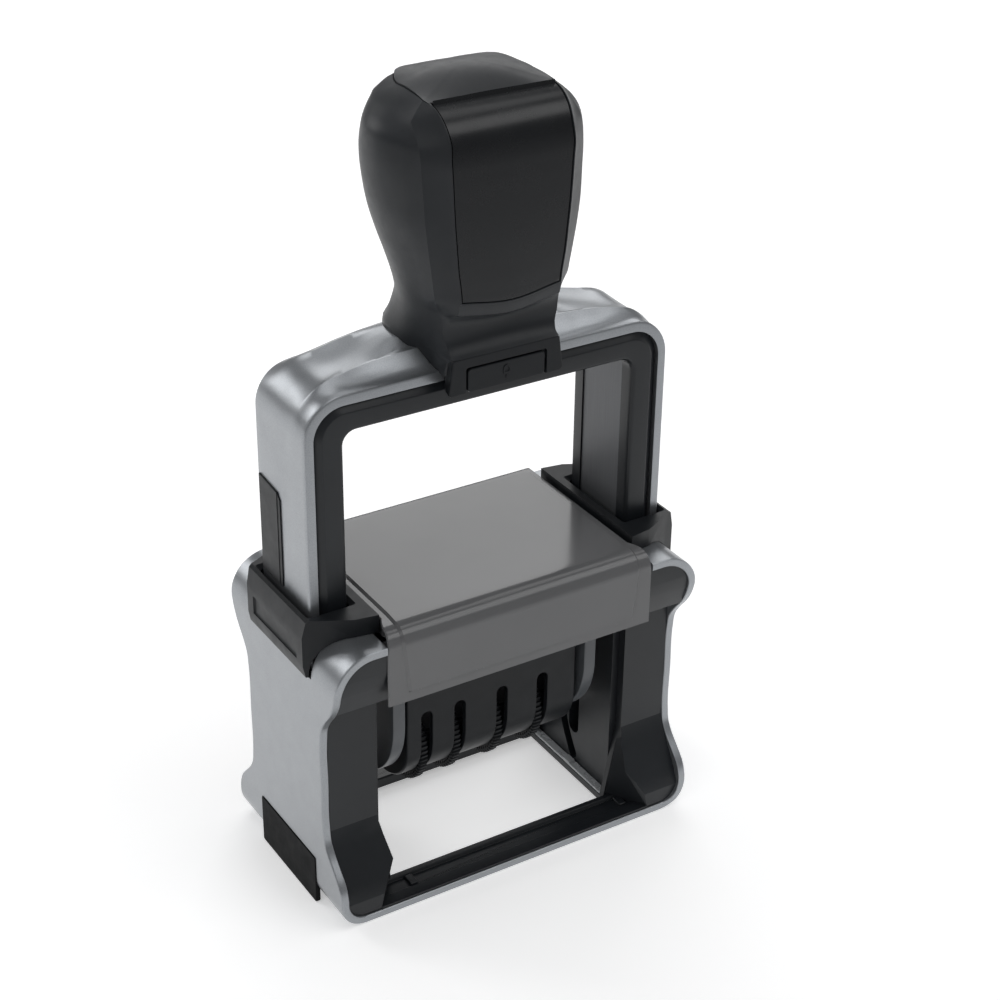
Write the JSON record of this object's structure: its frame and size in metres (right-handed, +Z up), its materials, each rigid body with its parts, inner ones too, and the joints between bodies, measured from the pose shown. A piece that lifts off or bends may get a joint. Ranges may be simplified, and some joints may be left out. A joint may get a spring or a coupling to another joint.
{
  "type": "rotary date stamp",
  "caption": "Self-inking date stamp: arched press frame with a grip slides in a waisted base and flips a type unit with thumb-wheel date bands.",
  "frame": {"origin": "centre of the footprint, on the surface that the stamp stands on", "axes": "+Z up along the press stroke, +X to the right along the type unit's pivot axis, -Y to the front with the label panel and lock button"},
  "size_m": [0.0898, 0.0486, 0.1735],
  "materials": {
    "silver": "satin metallic silver lacquer on moulded plastic",
    "black_plastic": "fine-textured moulded black",
    "satin_black": "smooth satin black",
    "gloss_black": "polished black",
    "soft_grip": "soft-touch matt black",
    "smoke_cover": "smoke-tinted polished clear plastic",
    "clear_strip": "milky clear plastic",
    "steel": "turned and drawn steel",
    "core_grey": "brushed grey core",
    "ink_felt": "ink-soaked felt",
    "die_rubber": "laser-cut stamp rubber",
    "band_rubber": "moulded band rubber",
    "flange_grey": "satin dark grey"
  },
  "bodies": {
    "base": {"side_shell_left": "silver", "side_shell_right": "silver", "bottom_rim_front": "silver", "bottom_rim_rear": "silver", "rail_front": "black_plastic", "rail_rear": "black_plastic", "side_rail_left": "black_plastic", "side_rail_right": "black_plastic", "position_strip_left": "clear_strip", "position_strip_right": "clear_strip", "inner_frame_left": "black_plastic", "inner_frame_right": "black_plastic", "cam_wall_left": "satin_black", "cam_wall_right": "satin_black", "foot_insert_left": "black_plastic", "foot_insert_right": "black_plastic", "guide_collar_left": "black_plastic", "guide_collar_right": "black_plastic", "pad_rail_left": "black_plastic", "pad_rail_right": "black_plastic", "dust_hood": "smoke_cover", "spring_rod_left": "steel", "spring_rod_right": "steel", "return_spring_left": "steel", "return_spring_right": "steel"},
    "ink_cartridge": {"ink_cartridge": "black_plastic", "ink_pad_felt": "ink_felt"},
    "press_frame": {"arch_shell": "silver", "arch_trim_front": "black_plastic", "arch_trim_rear": "black_plastic", "bar_core": "core_grey", "leg_core_left": "core_grey", "leg_core_right": "core_grey", "leg_inlay_left": "black_plastic", "leg_inlay_right": "black_plastic", "pivot_pin_left": "steel", "pivot_pin_right": "steel", "saddle_block": "black_plastic", "saddle_screws": "steel", "grip_body": "black_plastic", "grip_cap": "soft_grip", "label_panel": "gloss_black"},
    "lock_button": {"lock_button": "satin_black"},
    "type_unit": {"type_housing": "black_plastic", "end_flange_left": "flange_grey", "end_flange_right": "flange_grey", "text_plate": "black_plastic", "rubber_die": "die_rubber", "band_bridge": "steel", "wheel_axle": "steel", "date_band_1": "band_rubber", "date_band_2": "band_rubber", "date_band_3": "band_rubber", "date_band_4": "band_rubber"},
    "wheel_1": {"band_wheel_1": "satin_black"},
    "wheel_2": {"band_wheel_2": "satin_black"},
    "wheel_3": {"band_wheel_3": "satin_black"},
    "wheel_4": {"band_wheel_4": "satin_black"}
  },
  "joints": [
    {"name": "press_stroke", "type": "slide", "parent": "base", "child": "press_frame", "axis": [0, 0, -1], "range_m": [0, 0.036], "stiffness_N_per_m": 350, "springref_m": -0.02, "deforming": ["return_spring_left", "return_spring_right"]},
    {"name": "type_flip", "type": "hinge", "parent": "press_frame", "child": "type_unit", "pos_m": [0, 0, 0.048], "axis": [-1, 0, 0], "range_deg": [0, 181]},
    {"name": "lock_press", "type": "slide", "parent": "press_frame", "child": "lock_button", "axis": [0, 1, 0], "range_m": [0, 0.0019], "stiffness_N_per_m": 400, "springref_m": -0.001},
    {"name": "cartridge_pull", "type": "slide", "parent": "base", "child": "ink_cartridge", "axis": [0, 1, 0], "range_m": [0, 0.04]},
    {"name": "wheel_spin_1", "type": "hinge", "parent": "type_unit", "child": "wheel_1", "pos_m": [-0.0163, 0, 0.0273], "axis": [1, 0, 0], "continuous": true},
    {"name": "wheel_spin_2", "type": "hinge", "parent": "type_unit", "child": "wheel_2", "pos_m": [-0.0082, 0, 0.0273], "axis": [1, 0, 0], "continuous": true},
    {"name": "wheel_spin_3", "type": "hinge", "parent": "type_unit", "child": "wheel_3", "pos_m": [0.0023, 0, 0.0273], "axis": [1, 0, 0], "continuous": true},
    {"name": "wheel_spin_4", "type": "hinge", "parent": "type_unit", "child": "wheel_4", "pos_m": [0.0125, 0, 0.0273], "axis": [1, 0, 0], "continuous": true}
  ],
  "couplings": [
    {"joint": "type_flip", "follows": "press_stroke", "rad_per_m": 87.266}
  ]
}
